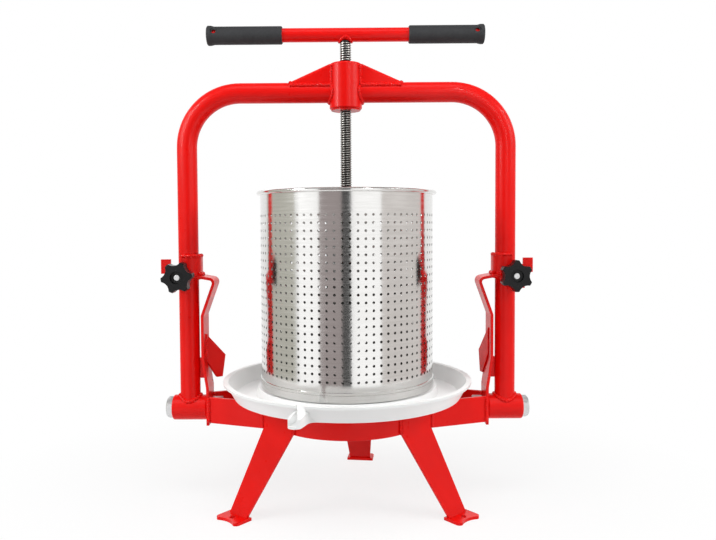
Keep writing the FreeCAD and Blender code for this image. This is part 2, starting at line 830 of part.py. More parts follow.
def lead_screw():
    """Screw with its retaining neck; its top is coped to the handle bar."""
    rod = upright(screw_diameter / 2, screw_end, handle_height)
    foot = [e for e in rod.Edges if isinstance(e.Curve, Part.Circle) and e.Curve.Center.z < screw_end + 1]
    rod = rod.makeChamfer(screw_chamfer, foot)
    groove = upright(screw_diameter, neck_low, neck_low + neck_length)
    groove = groove.cut(upright(neck_diameter / 2, neck_low, neck_low + neck_length))
    half = V(handle_diameter, 0, 0)
    centre = V(0, 0, handle_height)
    return rod.cut(groove).cut(make_cylinder(handle_diameter / 2 + weld_gap, centre - half, centre + half))


def handle_bar():
    centre = V(0, 0, handle_height)
    half = V(handle_length / 2, 0, 0)
    bar = make_cylinder(handle_diameter / 2, centre - half, centre + half)
    return bar.cut(make_cylinder(handle_diameter / 2 - handle_wall, centre - half, centre + half))


def grip_right():
    """Rubber sleeve with a closed, vented and slightly flared end."""
    inner = handle_diameter / 2 + push_gap
    cap = handle_length / 2 + push_gap
    end = cap + grip_cap
    start = end - grip_length
    outer = grip_diameter / 2
    flare = grip_flare / 2
    outline = [
        (start, inner),
        (start, outer - grip_round),
        (start + grip_round, outer),
        (end - grip_flare_length * 2, outer),
        (end - grip_flare_length, flare),
        (end - grip_round, flare),
        (end, flare - grip_round),
        (end, grip_vent / 2),
        (cap, grip_vent / 2),
        (cap, inner),
    ]
    face = polygon([V(x, 0, handle_height + r) for x, r in outline])
    sleeve = face.revolve(V(0, 0, handle_height), V(1, 0, 0), 360)
    centre = V(end - grip_hole_inset, 0, handle_height)
    angle = math.radians(grip_hole_turn)
    way = V(0, -math.cos(angle), math.sin(angle))
    hole = make_cylinder(grip_hole / 2, centre, centre + way * grip_diameter)
    dimple = make_cylinder(grip_dimple / 2, centre + way * (outer - grip_dimple_depth),
                           centre + way * grip_diameter)
    return sleeve.cut(hole).cut(dimple)


def build():
    os.makedirs("parts", exist_ok=True)
    save("base_ring", base_ring())
    arm = arm_front_right()
    save_pair("arm_front", arm)
    save_pair("arm_rear", arm.mirror(V(0, 0, 0), V(0, 1, 0)))
    save_pair("leg", leg_front_right())
    save("leg_rear", turned(leg(0, 0), rear_leg_turn))
    save_pair("latch_strip", latch_strip_right())
    save("stop_right", stop_right(stop_turns["right"], stop_lifts["right"]))
    save("stop_left", mirrored(stop_right(stop_turns["left"], stop_lifts["left"])))
    save_pair("saddle", saddle_right())
    save_pair("clamp_stud", stud_right())
    save_pair("knob_washer", knob_washer_right())
    save_pair("knob_insert", knob_insert_right())
    save("knob_right", knob_right(knob_turns["right"]))
    save("knob_left", mirrored(knob_right(180 - knob_turns["left"])))
    save_pair("arch_half", arch_half_right())
    save("head_boss", head_boss())
    save("screw_nut", screw_nut())
    save_pair("gusset", gusset_right())
    save_pair("pivot_tube", pivot_tube_right())
    save_pair("pivot_bolt", pivot_bolt_right())
    save_pair("pivot_washer", pivot_washer_right())
    save_pair("pivot_nut", pivot_nut_right())
    save("juice_tray", juice_tray())
    save("basket_wall", basket_wall())
    save("basket_base", basket_base())
    save("press_pan", press_pan())
    save("pan_hub", pan_hub())
    save("hub_grub_screws", hub_grub_screws())
    save("thrust_pad", thrust_pad())
    save("lead_screw", lead_screw())
    save("handle_bar", handle_bar())
    save_pair("grip", grip_right())


build()
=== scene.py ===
import json
import math

import bmesh
import bpy
from mathutils import Matrix, Vector

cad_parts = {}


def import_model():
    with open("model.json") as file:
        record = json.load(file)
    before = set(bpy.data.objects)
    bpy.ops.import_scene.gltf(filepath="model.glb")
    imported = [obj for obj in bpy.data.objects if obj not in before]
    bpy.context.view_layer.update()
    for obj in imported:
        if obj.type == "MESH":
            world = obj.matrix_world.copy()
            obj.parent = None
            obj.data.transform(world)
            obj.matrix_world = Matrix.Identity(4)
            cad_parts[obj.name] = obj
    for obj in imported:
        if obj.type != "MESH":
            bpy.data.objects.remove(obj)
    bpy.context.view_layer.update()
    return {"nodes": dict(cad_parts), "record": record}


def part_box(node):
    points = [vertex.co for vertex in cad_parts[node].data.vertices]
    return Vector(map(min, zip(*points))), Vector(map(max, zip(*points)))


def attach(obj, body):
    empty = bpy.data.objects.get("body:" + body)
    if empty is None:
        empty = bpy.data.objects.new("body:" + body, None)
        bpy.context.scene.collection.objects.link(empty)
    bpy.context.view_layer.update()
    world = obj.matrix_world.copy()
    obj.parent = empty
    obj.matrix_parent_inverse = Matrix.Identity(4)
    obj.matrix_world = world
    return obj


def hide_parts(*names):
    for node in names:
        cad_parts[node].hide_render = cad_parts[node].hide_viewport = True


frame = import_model()

mm = 0.001
sides = {"left": -1, "right": 1}

# Sizes of the forms that are drawn here, next to the frame they are fitted to
hole_columns = 76
hole_rows = 22
hole_diameter = 3.6 * mm
hole_corners = 12
first_row = 34 * mm  # from the rim down to the first row
row_pitch = 10 * mm
basket_sheet = 1.2 * mm
rim_reach = 6.4 * mm  # flattened roll at the rim, from the wall's inner face
rim_height = 5.4 * mm
hem_low = 10.6 * mm  # groove along the hem, above the basket's underside
hem_high = 14.3 * mm  # upper edge of the hem
hem_groove = 0.45 * mm
hem_round = 0.3 * mm
hem_sheet = 0.4 * mm  # the hem's upper edge thins to this
foot_gap = 1.1 * mm  # the hem's edge stands this far above the tray
foot_recess = 12 * mm
flat_bar = 5 * mm
arm_turn = math.radians(30)  # where an arm meets the ring
leg_plate = 4 * mm
leg_width = 54 * mm
leg_drop = 2 * mm
leg_faces = {"leg_right": -50, "leg_left": 230, "leg_rear": 83}  # which way the plates look, in degrees
leg_turns = {"leg_right": -35, "leg_left": 215, "leg_rear": 83}  # where their middles stand, in degrees
strip_lean = 6 * mm  # the latch strips' upper part stands this far outwards
wing_half = 4 * mm
lip_height = 0.6 * mm  # moulded lip over a knob's insert
lip_edge = 0.2 * mm
thread_pitch = 3.2 * mm
thread_depth = 1.5 * mm
thread_steps = 24  # faces round one turn
thread_root = 6.6 * mm  # radii between which the painted shade in the thread's roots gives way to the steel's own colour
thread_crest = 7.9 * mm
neck_radius = 5.75 * mm
neck_bottom = 13 * mm  # above the screw's lower end
neck_top = 20 * mm
bead_radius = 2.3 * mm  # weld beads of the frame
bead_ripple = 3.4 * mm  # length of one ripple of a weld bead
card_distance = 0.55  # from the screw's axis to the upright studio cards
card_top = 0.75
strip_foot = 0.52  # the narrow bright cards stand above the basket's view
strip_top = 0.94
merge_reach = 0.01 * mm


# Materials

class Finish:
    """A material under construction: one shader and the nodes that feed it."""

    def __init__(self, name, roughness, metal=0.0):
        self.material = bpy.data.materials.new(name)
        self.material.use_nodes = True
        self.nodes = self.material.node_tree.nodes
        self.links = self.material.node_tree.links
        self.shader = self.nodes["Principled BSDF"]
        self.shader.inputs["Metallic"].default_value = metal
        self.shader.inputs["Roughness"].default_value = roughness
        self.place = self.nodes.new("ShaderNodeTexCoord").outputs["Object"]
        self.normal = None

    def set(self, **values):
        """Constants of the shader, such as coat_weight=0.4."""
        for name, value in values.items():
            self.shader.inputs[name.replace("_", " ").title().replace("Ior", "IOR")].default_value = value

    def noise(self, scale, detail=3.0, stretch=(1, 1, 1), rough=0.5):
        """Noise with features of about 1 / scale metres, stretched along an axis where asked."""
        mapping = self.nodes.new("ShaderNodeMapping")
        mapping.inputs["Scale"].default_value = stretch
        self.links.new(self.place, mapping.inputs["Vector"])
        noise = self.nodes.new("ShaderNodeTexNoise")
        noise.inputs["Scale"].default_value = scale
        noise.inputs["Detail"].default_value = detail
        noise.inputs["Roughness"].default_value = rough
        self.links.new(mapping.outputs["Vector"], noise.inputs["Vector"])
        return noise.outputs["Fac"]

    def spread(self, value, low, high, start=0.3, end=0.7):
        """The value's middle range laid between low and high."""
        node = self.nodes.new("ShaderNodeMapRange")
        node.inputs["From Min"].default_value = start
        node.inputs["From Max"].default_value = end
        node.inputs["To Min"].default_value = low
        node.inputs["To Max"].default_value = high
        self.links.new(value, node.inputs["Value"])
        return node.outputs["Result"]

    def blend(self, factor, low, high):
        """A colour between two colours or sockets."""
        node = self.nodes.new("ShaderNodeMix")
        node.data_type = "RGBA"
        self.links.new(factor, node.inputs["Factor"])
        for slot, colour in ((6, low), (7, high)):
            if isinstance(colour, tuple):
                node.inputs[slot].default_value = (*colour, 1)
            else:
                self.links.new(colour, node.inputs[slot])
        return node.outputs[2]

    def colour(self, socket):
        self.links.new(socket, self.shader.inputs["Base Color"])

    def rough(self, socket):
        self.links.new(socket, self.shader.inputs["Roughness"])

    def bump(self, height, depth, strength=1.0):
        """Relief of the given depth in metres, added to any relief before it."""
        node = self.nodes.new("ShaderNodeBump")
        node.inputs["Distance"].default_value = depth
        node.inputs["Strength"].default_value = strength
        self.links.new(height, node.inputs["Height"])
        if self.normal:
            self.links.new(self.normal, node.inputs["Normal"])
        self.normal = node.outputs["Normal"]
        self.links.new(self.normal, self.shader.inputs["Normal"])


def powder_coat():
    """Glossy red with a fine orange peel."""
    coat = Finish("red_powder_coat", 0.3)
    coat.set(specular_ior_level=0.12, coat_weight=0.12, coat_roughness=0.06, coat_ior=1.5)
    coat.colour(coat.blend(coat.noise(32, 4), (0.74, 0.0028, 0.0014), (0.84, 0.0050, 0.0028)))
    coat.rough(coat.spread(coat.noise(80, 3), 0.27, 0.37))
    coat.bump(coat.noise(520, 2), 0.08 * mm, 0.35)
    return coat.material


def brushed_sheet():
    """Stainless sheet with a faint, fine brush grain that runs round the basket."""
    steel = Finish("brushed_basket", 0.16, 1.0)
    lines = steel.noise(420, 4, (0.06, 0.06, 1), 0.6)
    tone = steel.blend(steel.spread(lines, 0, 1), (0.70, 0.695, 0.68), (0.78, 0.775, 0.765))
    steel.colour(steel.blend(steel.spread(steel.noise(12, 3), 0, 0.3), tone, (0.64, 0.63, 0.61)))
    steel.rough(steel.spread(lines, 0.11, 0.19))
    steel.bump(lines, 0.006 * mm, 0.25)
    return steel.material


def steel_with_painted_root_shade():
    """Steel darkened towards the thread's roots as painted shade, and in its own colour on the crests."""
    steel = Finish("steel_with_painted_root_shade", 0.3, 1.0)
    level = steel.nodes.new("ShaderNodeMapping")
    level.inputs["Scale"].default_value = (1, 1, 0)
    steel.links.new(steel.place, level.inputs["Vector"])
    reach = steel.nodes.new("ShaderNodeVectorMath")
    reach.operation = "LENGTH"
    steel.links.new(level.outputs["Vector"], reach.inputs[0])
    # Painted shade: the colour darkens from the crests' radius in towards the thread's roots.
    crest = steel.spread(reach.outputs["Value"], 0, 1, thread_root, thread_crest)
    steel_tone = steel.blend(steel.spread(steel.noise(90, 3), 0, 1), (0.34, 0.33, 0.31), (0.46, 0.45, 0.43))
    steel.colour(steel.blend(crest, (0.035, 0.034, 0.032), steel_tone))
    steel.rough(steel.spread(steel.noise(120, 3), 0.2, 0.32))
    steel.bump(steel.noise(900, 2), 0.02 * mm, 0.3)
    return steel.material


def bright_zinc():
    """Zinc plate, slightly cloudy."""
    zinc = Finish("bright_zinc", 0.35, 0.85)
    cloud = zinc.noise(180, 4)
    zinc.colour(zinc.blend(zinc.spread(cloud, 0, 1), (0.60, 0.605, 0.61), (0.72, 0.725, 0.73)))
    zinc.rough(zinc.spread(cloud, 0.28, 0.44))
    zinc.bump(zinc.noise(1200, 2), 0.015 * mm, 0.3)
    return zinc.material


def turned_bronze():
    """Bronze with turning marks round the upright axis."""
    bronze = Finish("turned_bronze", 0.35, 1.0)
    marks = bronze.noise(900, 3, (0.1, 0.1, 1))
    bronze.colour(bronze.blend(bronze.spread(marks, 0, 1), (0.42, 0.25, 0.10), (0.60, 0.40, 0.18)))
    bronze.rough(bronze.spread(marks, 0.28, 0.45))
    bronze.bump(marks, 0.02 * mm, 0.4)
    return bronze.material


def white_plastic():
    """Moulded food plastic with a fine satin grain."""
    tray = Finish("white_moulded_plastic", 0.32)
    tray.colour(tray.blend(tray.noise(10, 3), (0.82, 0.83, 0.825), (0.87, 0.88, 0.875)))
    tray.rough(tray.spread(tray.noise(40, 3), 0.36, 0.46))
    tray.bump(tray.noise(1100, 2), 0.02 * mm, 0.25)
    tray.bump(tray.noise(30, 2), 0.4 * mm, 0.05)
    return tray.material


def black_plastic():
    """Moulded knob plastic with a dull gloss."""
    knob = Finish("black_knob_plastic", 0.32)
    knob.set(specular_ior_level=0.22)
    knob.colour(knob.blend(knob.noise(120, 3), (0.003, 0.003, 0.0035), (0.008, 0.008, 0.009)))
    knob.rough(knob.spread(knob.noise(200, 3), 0.24, 0.40))
    knob.bump(knob.noise(1500, 2), 0.03 * mm, 0.4)
    return knob.material


def grip_rubber():
    """Grey-black rubber with a coarse matt grain."""
    rubber = Finish("grip_rubber", 0.62)
    rubber.set(specular_ior_level=0.3)
    rubber.colour(rubber.blend(rubber.noise(60, 4), (0.016, 0.017, 0.019), (0.030, 0.031, 0.034)))
    rubber.rough(rubber.spread(rubber.noise(300, 3), 0.52, 0.75))
    rubber.bump(rubber.noise(700, 3, (0.35, 1, 1)), 0.10 * mm, 0.5)
    return rubber.material


red = powder_coat()
steel_sheet = brushed_sheet()
thread_steel = steel_with_painted_root_shade()
zinc = bright_zinc()
bronze = turned_bronze()
tray_white = white_plastic()
knob_black = black_plastic()
rubber = grip_rubber()
finishes = {
    "frame_paint": red,
    "stainless": steel_sheet,
    "screw_steel": thread_steel,
    "zinc_plate": zinc,
    "bronze": bronze,
    "tray_plastic": tray_white,
    "knob_plastic": knob_black,
    "grip_rubber": rubber,
}
slot_of = {part["node"]: part["material_slot"] for part in frame["record"]["subparts"]}
body_of = {node: body for body, nodes in frame["record"]["behaviour"]["bodies"].items() for node in nodes}


# Meshes and pieces

def draw(name, points, faces=(), edges=()):
    mesh = bpy.data.meshes.new(name)
    mesh.from_pydata([tuple(p) for p in points], list(edges), list(faces))
    thing = bpy.data.objects.new(name, mesh)
    bpy.context.scene.collection.objects.link(thing)
    return thing


def reworked(thing, work):
    """Let work change the object's mesh as a bmesh."""
    bm = bmesh.new()
    bm.from_mesh(thing.data)
    work(bm)
    bm.to_mesh(thing.data)
    bm.free()
    return thing


def baked(thing):
    """Turn what the modifiers make into the object's own plain mesh."""
    bpy.context.view_layer.update()
    graph = bpy.context.evaluated_depsgraph_get()
    made = bpy.data.meshes.new_from_object(thing.evaluated_get(graph))
    thing.modifiers.clear()
    thing.data = made
    return thing


def smooth(thing, degrees):
    thing.data.shade_smooth()
    thing.data.set_sharp_from_angle(angle=math.radians(degrees))
    return thing


def dress(thing, finish, body, slot, *nodes):
    """Give a piece its material and its body, and hide the nodes it stands for. The slot is not used."""
    thing.data.materials.clear()
    thing.data.materials.append(finish)
    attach(thing, body)
    if nodes:
        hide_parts(*nodes)
    return thing


class Pattern:
    """A geometry tree under construction. Its sizes are named inputs of the modifier."""

    def __init__(self, name, **sizes):
        self.tree = bpy.data.node_groups.new(name, "GeometryNodeTree")
        self.tree.interface.new_socket("Geometry", in_out="INPUT", socket_type="NodeSocketGeometry")
        self.values = {}
        for label, value in sizes.items():
            kind = "NodeSocketFloat"
            if isinstance(value, int):
                kind = "NodeSocketInt"
            if isinstance(value, bpy.types.Material):
                kind = "NodeSocketMaterial"
            socket = self.tree.interface.new_socket(label, in_out="INPUT", socket_type=kind)
            self.values[socket.identifier] = value
        self.tree.interface.new_socket("Geometry", in_out="OUTPUT", socket_type="NodeSocketGeometry")
        self.start = self.tree.nodes.new("NodeGroupInput")
        self.end = self.tree.nodes.new("NodeGroupOutput")
        self.unit = self.start.outputs["Geometry"]

    def size(self, label):
        return self.start.outputs[label]

    def put(self, value, socket):
        if isinstance(value, bpy.types.NodeSocket):
            self.tree.links.new(value, socket)
        else:
            socket.default_value = value

    def node(self, kind, inputs, **settings):
        """A node whose inputs are given by name or by number."""
        node = self.tree.nodes.new(kind)
        for key, value in settings.items():
            setattr(node, key, value)
        for key, value in inputs.items():
            self.put(value, node.inputs[key])
        return node

    def calc(self, work, *values):
        inputs = dict(enumerate(values))
        return self.node("ShaderNodeMath", inputs, operation=work).outputs[0]

    def point(self, x, y, z):
        return self.node("ShaderNodeCombineXYZ", {"X": x, "Y": y, "Z": z}).outputs[0]

    def finish(self, geometry, thing):
        """End the tree, hang it on the object with its sizes set, and bake the result."""
        real = self.node("GeometryNodeRealizeInstances", {"Geometry": geometry}).outputs[0]
        near = self.node("GeometryNodeMergeByDistance", {"Geometry": real, "Distance": merge_reach})
        done = self.node("GeometryNodeSetMaterial",
                         {"Geometry": near.outputs[0], "Material": self.size("Material")})
        self.put(done.outputs[0], self.end.inputs[0])
        modifier = thing.modifiers.new("Pattern", "NODES")
        modifier.node_group = self.tree
        for identifier, value in self.values.items():
            modifier[identifier] = value
        return baked(thing)


def round_the_basket(pattern, flat):
    """Bend geometry from a flat sheet round the basket's axis: X runs round, Y outwards, Z up."""
    place = pattern.node("GeometryNodeInputPosition", {}).outputs[0]
    x, y, z = pattern.node("ShaderNodeSeparateXYZ", {0: place}).outputs
    angle = pattern.calc("DIVIDE", x, pattern.size("Radius"))
    reach = pattern.calc("ADD", y, pattern.size("Radius"))
    across = pattern.calc("MULTIPLY", reach, pattern.calc("SINE", angle))
    along = pattern.calc("MULTIPLY", reach, pattern.calc("COSINE", angle))
    back = pattern.calc("MULTIPLY", along, -1.0)
    bent = pattern.node("GeometryNodeSetPosition",
                        {"Geometry": flat, "Position": pattern.point(across, back, z)})
    return bent.outputs[0]


# The basket

basket_low, basket_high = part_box("basket_wall")
basket_radius = basket_high.x - rim_reach + basket_sheet
hole_step = 2 * math.pi * basket_radius / hole_columns
rows_top = basket_high.z - first_row + row_pitch / 2
rows_bottom = rows_top - hole_rows * row_pitch


def hole_tile():
    """One hole in its piece of sheet, front, back and inside, drawn at the origin."""
    points = []
    faces = []
    side = hole_corners // 4
    for k in range(hole_corners):
        angle = math.radians(45 + 360 * k / hole_corners)
        turn = k // side * math.pi / 2
        share = 1 - 2 * (k % side) / side
        edge_x = share * math.cos(turn) - math.sin(turn)
        edge_z = share * math.sin(turn) + math.cos(turn)
        edge = (edge_x * hole_step / 2, edge_z * row_pitch / 2)
        hole = (hole_diameter / 2 * math.cos(angle), hole_diameter / 2 * math.sin(angle))
        for x, z in (edge, hole):
            points.append((x, 0, z))
            points.append((x, -basket_sheet, z))
    for k in range(hole_corners):
        a = 4 * k
        b = 4 * ((k + 1) % hole_corners)
        faces.append((a, b, b + 2, a + 2))
        faces.append((a + 1, a + 3, b + 3, b + 1))
        faces.append((a + 2, b + 2, b + 3, a + 3))
    return draw("basket_sheet", points, faces)


def perforated_band():
    """The tile repeated in upright columns and bent round the basket."""
    pattern = Pattern("Perforations", Columns=hole_columns, Rows=hole_rows, Step=hole_step, Pitch=row_pitch,
                      Radius=basket_radius, Middle=(rows_top + rows_bottom) / 2, Material=steel_sheet)
    last_column = pattern.calc("SUBTRACT", pattern.size("Columns"), 1.0)
    last_row = pattern.calc("SUBTRACT", pattern.size("Rows"), 1.0)
    grid = pattern.node("GeometryNodeMeshGrid", {
        "Size X": pattern.calc("MULTIPLY", last_column, pattern.size("Step")),
        "Size Y": pattern.calc("MULTIPLY", last_row, pattern.size("Pitch")),
        "Vertices X": pattern.size("Columns"),
        "Vertices Y": pattern.size("Rows"),
    })
    place = pattern.node("GeometryNodeInputPosition", {}).outputs[0]
    x, y, _ = pattern.node("ShaderNodeSeparateXYZ", {0: place}).outputs
    height = pattern.calc("ADD", y, pattern.size("Middle"))
    centres = pattern.node("GeometryNodeSetPosition",
                           {"Geometry": grid.outputs["Mesh"], "Position": pattern.point(x, 0.0, height)})
    tiles = pattern.node("GeometryNodeInstanceOnPoints",
                         {"Points": centres.outputs[0], "Instance": pattern.unit})
    flat = pattern.node("GeometryNodeRealizeInstances", {"Geometry": tiles.outputs[0]})
    return pattern.finish(round_the_basket(pattern, flat.outputs[0]), hole_tile())


def turned_profile(name, profile, steps, closed=True):
    """A profile of (radius, height) pairs turned once round the upright axis."""
    points = []
    faces = []
    count = len(profile)
    for k in range(steps):
        angle = 2 * math.pi * k / steps
        points += [(r * math.cos(angle), r * math.sin(angle), z) for r, z in profile]
    for k in range(steps):
        here = k * count
        there = (k + 1) % steps * count
        for j in range(count if closed else count - 1):
            n = (j + 1) % count
            faces.append((here + j, there + j, there + n, here + n))
    thing = draw(name, points, faces)
    return reworked(thing, lambda bm: (
        bmesh.ops.remove_doubles(bm, verts=bm.verts, dist=merge_reach),
        bmesh.ops.recalc_face_normals(bm, faces=bm.faces),
    ))


def rolled_rim():
    """Profile of the plain band above the holes and of the rim, rolled outwards and flattened."""
    inner = basket_radius - basket_sheet
    half = rim_height / 2
    middle = basket_high.z - half
    profile = [(basket_radius, rows_top), (basket_radius, middle - half * 0.97)]
    for centre, start in ((basket_high.x - half, -90), (inner + half, 90)):
        for turn in range(start, start + (181 if start < 0 else 91), 15):
            angle = math.radians(turn)
            profile.append((centre + half * math.cos(angle), middle + half * math.sin(angle)))
    profile.append((inner, rows_top))
    return profile


def joined(name, *things):
    """One object made of several, joined in the first one's place."""
    first = things[0]
    bm = bmesh.new()
    for thing in things:
        bm.from_mesh(thing.data)
    bm.to_mesh(first.data)
    bm.free()
    for thing in things[1:]:
        bpy.data.objects.remove(thing)
    first.name = name
    return first


def basket():
    inner = basket_radius - basket_sheet
    foot = basket_low.z
    band = 3 * hole_columns
    low_band = [(basket_radius, foot), (basket_radius, rows_bottom), (inner, rows_bottom), (inner, foot)]
    wall = joined("basket_sheet", perforated_band(),
                  turned_profile("rim_band", rolled_rim(), band),
                  turned_profile("foot_band", low_band, band))
    smooth(wall, 40)
    dress(wall, steel_sheet, body_of["basket_wall"], "stainless", "basket_wall")


def basket_foot():
    """Bottom of the basket, hemmed round the wall, with a groove along the hem and a recess below it."""
    deck, top = (corner.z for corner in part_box("basket_base"))
    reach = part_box("basket_base")[1].x
    floor = deck + basket_sheet
    seat = reach - foot_recess
    wall = basket_radius + hem_sheet
    half = hem_groove / 2
    profile = [
        (0, deck),
        (seat, deck),
        (seat, deck + foot_gap),
        (reach - hem_round, deck + foot_gap),
        (reach, deck + foot_gap + hem_round),
        (reach, deck + hem_low - half),
        (reach - hem_groove, deck + hem_low),
        (reach, deck + hem_low + half),
        (reach, deck + hem_high - 2 * half),
        (wall, deck + hem_high - half),
        (wall, deck + hem_high),
        (basket_radius + 0.05 * mm, deck + hem_high),
        (basket_radius + 0.05 * mm, floor),
        (0, floor),
    ]
    foot = turned_profile("basket_foot", profile, 3 * hole_columns, closed=False)
    smooth(foot, 25)
    dress(foot, steel_sheet, body_of["basket_base"], "stainless", "basket_base")


# The screw

screw_low, screw_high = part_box("lead_screw")
bar_low, bar_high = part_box("handle_bar")
screw_radius = screw_high.x


def thread():
    """A helical band of trapezoid profile that runs out into the core at both ends."""
    low = screw_low.z + neck_top
    high = bar_low.z + 0.8 * mm
    turns = math.ceil((high - low) / thread_pitch)
    pattern = Pattern("Thread", Turns=turns, Steps=thread_steps, Pitch=thread_pitch, Radius=screw_radius,
                      Depth=thread_depth, Low=low, High=high, Material=thread_steel)
    along = pattern.calc("MULTIPLY", pattern.size("Turns"), pattern.size("Steps"))
    grid = pattern.node("GeometryNodeMeshGrid", {
        "Size X": pattern.size("Turns"),
        "Size Y": 1.0,
        "Vertices X": pattern.calc("ADD", along, 1.0),
        "Vertices Y": 9,
    })
    place = pattern.node("GeometryNodeInputPosition", {}).outputs[0]
    x, y, _ = pattern.node("ShaderNodeSeparateXYZ", {0: place}).outputs
    turn = pattern.calc("ADD", x, pattern.calc("DIVIDE", pattern.size("Turns"), 2.0))
    rise = pattern.calc("ADD", turn, pattern.calc("ADD", y, -0.5))
    free = pattern.calc("MULTIPLY_ADD", rise, pattern.size("Pitch"), pattern.size("Low"))
    height = pattern.calc("MINIMUM", pattern.calc("MAXIMUM", free, pattern.size("Low")), pattern.size("High"))
    crest = pattern.calc("MULTIPLY_ADD", pattern.calc("ABSOLUTE", y), -4.0, 1.6)
    crest = pattern.calc("MINIMUM", pattern.calc("MAXIMUM", crest, 0.0), 1.0)
    above = pattern.calc("SUBTRACT", height, pattern.size("Low"))
    below = pattern.calc("SUBTRACT", pattern.size("High"), height)
    start = pattern.calc("DIVIDE", above, pattern.size("Pitch"))
    stop = pattern.calc("DIVIDE", below, pattern.size("Pitch"))
    run_out = pattern.calc("MINIMUM", pattern.calc("MINIMUM", start, stop), 1.0)
    cut = pattern.calc("SUBTRACT", 1.0, pattern.calc("MULTIPLY", crest, run_out))
    depth = pattern.calc("MULTIPLY", cut, pattern.size("Depth"))
    radius = pattern.calc("SUBTRACT", pattern.size("Radius"), depth)
    angle = pattern.calc("MULTIPLY", turn, 2 * math.pi)
    bent = pattern.node("GeometryNodeSetPosition", {
        "Geometry": grid.outputs["Mesh"],
        "Position": pattern.point(pattern.calc("MULTIPLY", radius, pattern.calc("COSINE", angle)),
                                  pattern.calc("MULTIPLY", radius, pattern.calc("SINE", angle)), height),
    })
    helix = pattern.finish(bent.outputs[0], draw("screw_thread", [(0, 0, 0)]))
    return reworked(helix, lambda bm: (
        bmesh.ops.holes_fill(bm, edges=[e for e in bm.edges if e.is_boundary]),
        bmesh.ops.recalc_face_normals(bm, faces=bm.faces),
    ))


def screw():
    low = screw_low.z
    edge = 1 * mm
    profile = [
        (0, low),
        (screw_radius - edge, low),
        (screw_radius, low + edge),
        (screw_radius, low + neck_bottom),
        (neck_radius, low + neck_bottom),
        (neck_radius, low + neck_top),
        (screw_radius - thread_depth, low + neck_top),
        (0, low + neck_top),
    ]
    rod = joined("threaded_screw", thread(), turned_profile("screw_neck", profile, 48, closed=False))
    smooth(rod, 35)
    dress(rod, thread_steel, body_of["lead_screw"], "screw_steel", "lead_screw")


# Softened copies of the frame's plates, tubes and turned pieces

def softened(node, width, segments=2, sharp=50):
    """A merged copy of a CAD node with small rounds on its edges."""
    source = frame["nodes"][node].data
    points = [v.co.copy() for v in source.vertices]
    faces = [tuple(p.vertices) for p in source.polygons]
    piece = reworked(draw(node + "_finished", points, faces), lambda bm: (
        bmesh.ops.remove_doubles(bm, verts=bm.verts, dist=merge_reach),
        bmesh.ops.dissolve_limit(bm, angle_limit=math.radians(0.6), verts=bm.verts, edges=bm.edges),
    ))
    bevel = piece.modifiers.new("Edges", "BEVEL")
    bevel.width = width
    bevel.segments = segments
    bevel.limit_method = "ANGLE"
    bevel.angle_limit = math.radians(28)
    bevel.use_clamp_overlap = True
    bevel.miter_outer = "MITER_ARC"
    baked(piece)
    smooth(piece, sharp)
    weight = piece.modifiers.new("Flat faces", "WEIGHTED_NORMAL")
    weight.keep_sharp = True
    baked(piece)
    slot = slot_of[node]
    return dress(piece, finishes[slot], body_of[node], slot, node)


edge_rounds = {
    "base_ring": 0.8 * mm,
    "arm_front_left": 0.8 * mm,
    "arm_front_right": 0.8 * mm,
    "arm_rear_left": 0.8 * mm,
    "arm_rear_right": 0.8 * mm,
    "leg_left": 0.8 * mm,
    "leg_right": 0.8 * mm,
    "leg_rear": 0.8 * mm,
    "latch_strip_left": 0.7 * mm,
    "latch_strip_right": 0.7 * mm,
    "stop_left": 0.8 * mm,
    "stop_right": 0.8 * mm,
    "saddle_left": 0.7 * mm,
    "saddle_right": 0.7 * mm,
    "gusset_left": 0.5 * mm,
    "gusset_right": 0.5 * mm,
    "head_boss": 0.6 * mm,
    "screw_nut": 0.5 * mm,
    "pivot_tube_left": 0.6 * mm,
    "pivot_tube_right": 0.6 * mm,
    "pivot_bolt_left": 0.5 * mm,
    "pivot_bolt_right": 0.5 * mm,
    "knob_left": 1.2 * mm,
    "knob_right": 1.2 * mm,
    "clamp_stud_left": 0.6 * mm,
    "clamp_stud_right": 0.6 * mm,
    "juice_tray": 1.4 * mm,
    "grip_left": 0.5 * mm,
    "grip_right": 0.5 * mm,
}


# Weld beads

def ring_path(count, place):
    """A closed path of points from a function of the angle."""
    return [place(2 * math.pi * k / count) for k in range(count)] + [place(0.0)]


def on_tube(tube_radius, reach):
    """Height above the axis of a tube at a sideways distance from it."""
    return math.sqrt(tube_radius ** 2 - reach ** 2)


